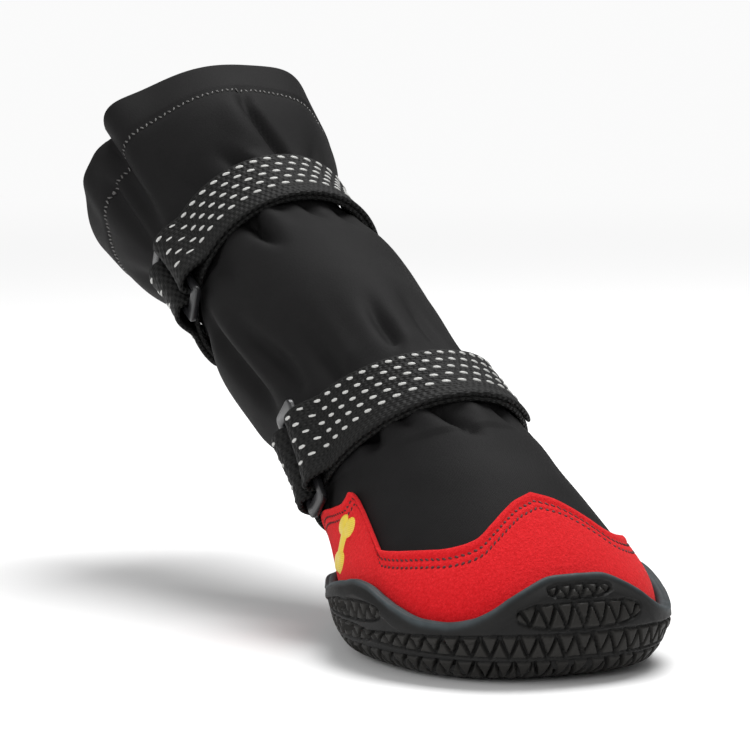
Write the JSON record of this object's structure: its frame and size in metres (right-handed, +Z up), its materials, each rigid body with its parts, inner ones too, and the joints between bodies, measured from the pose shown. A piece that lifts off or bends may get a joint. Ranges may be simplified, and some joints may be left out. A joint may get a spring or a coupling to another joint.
{
  "type": "dog boot",
  "caption": "Tall dog boot: moulded rubber cup sole with a lugged tread, felt rand round the foot, softshell foot and shaft leaning back to an open collar, and two webbing straps with rings.",
  "frame": {"origin": "on the floor under the middle of the sole's length, on the sole's centreline", "axes": "+X towards the toe, +Y to the boot's left, +Z up from the floor; the shaft leans back over -X"},
  "size_m": [0.2289, 0.0748, 0.1303],
  "materials": {
    "rubber": "satin black moulded rubber with a smoother grey lip",
    "insert": "satin yellow moulded rubber, bare",
    "footbed": "matt dark grey felt",
    "softshell": "matt black stretch softshell",
    "felt": "brushed red felt",
    "webbing": "ribbed black webbing with rows of pale reflective dashes",
    "elastic": "ribbed black elastic",
    "plastic": "semi-gloss black plastic"
  },
  "bodies": {
    "root": {"outsole": "rubber", "sole_insert": "insert", "insole": "footbed", "upper": "softshell", "rand": "felt", "lower_strap": "webbing", "lower_ring": "plastic", "lower_ring_tab": "webbing", "lower_elastic": "elastic", "upper_strap": "webbing", "upper_ring": "plastic", "upper_ring_tab": "webbing", "upper_elastic": "elastic"}
  },
  "joints": []
}
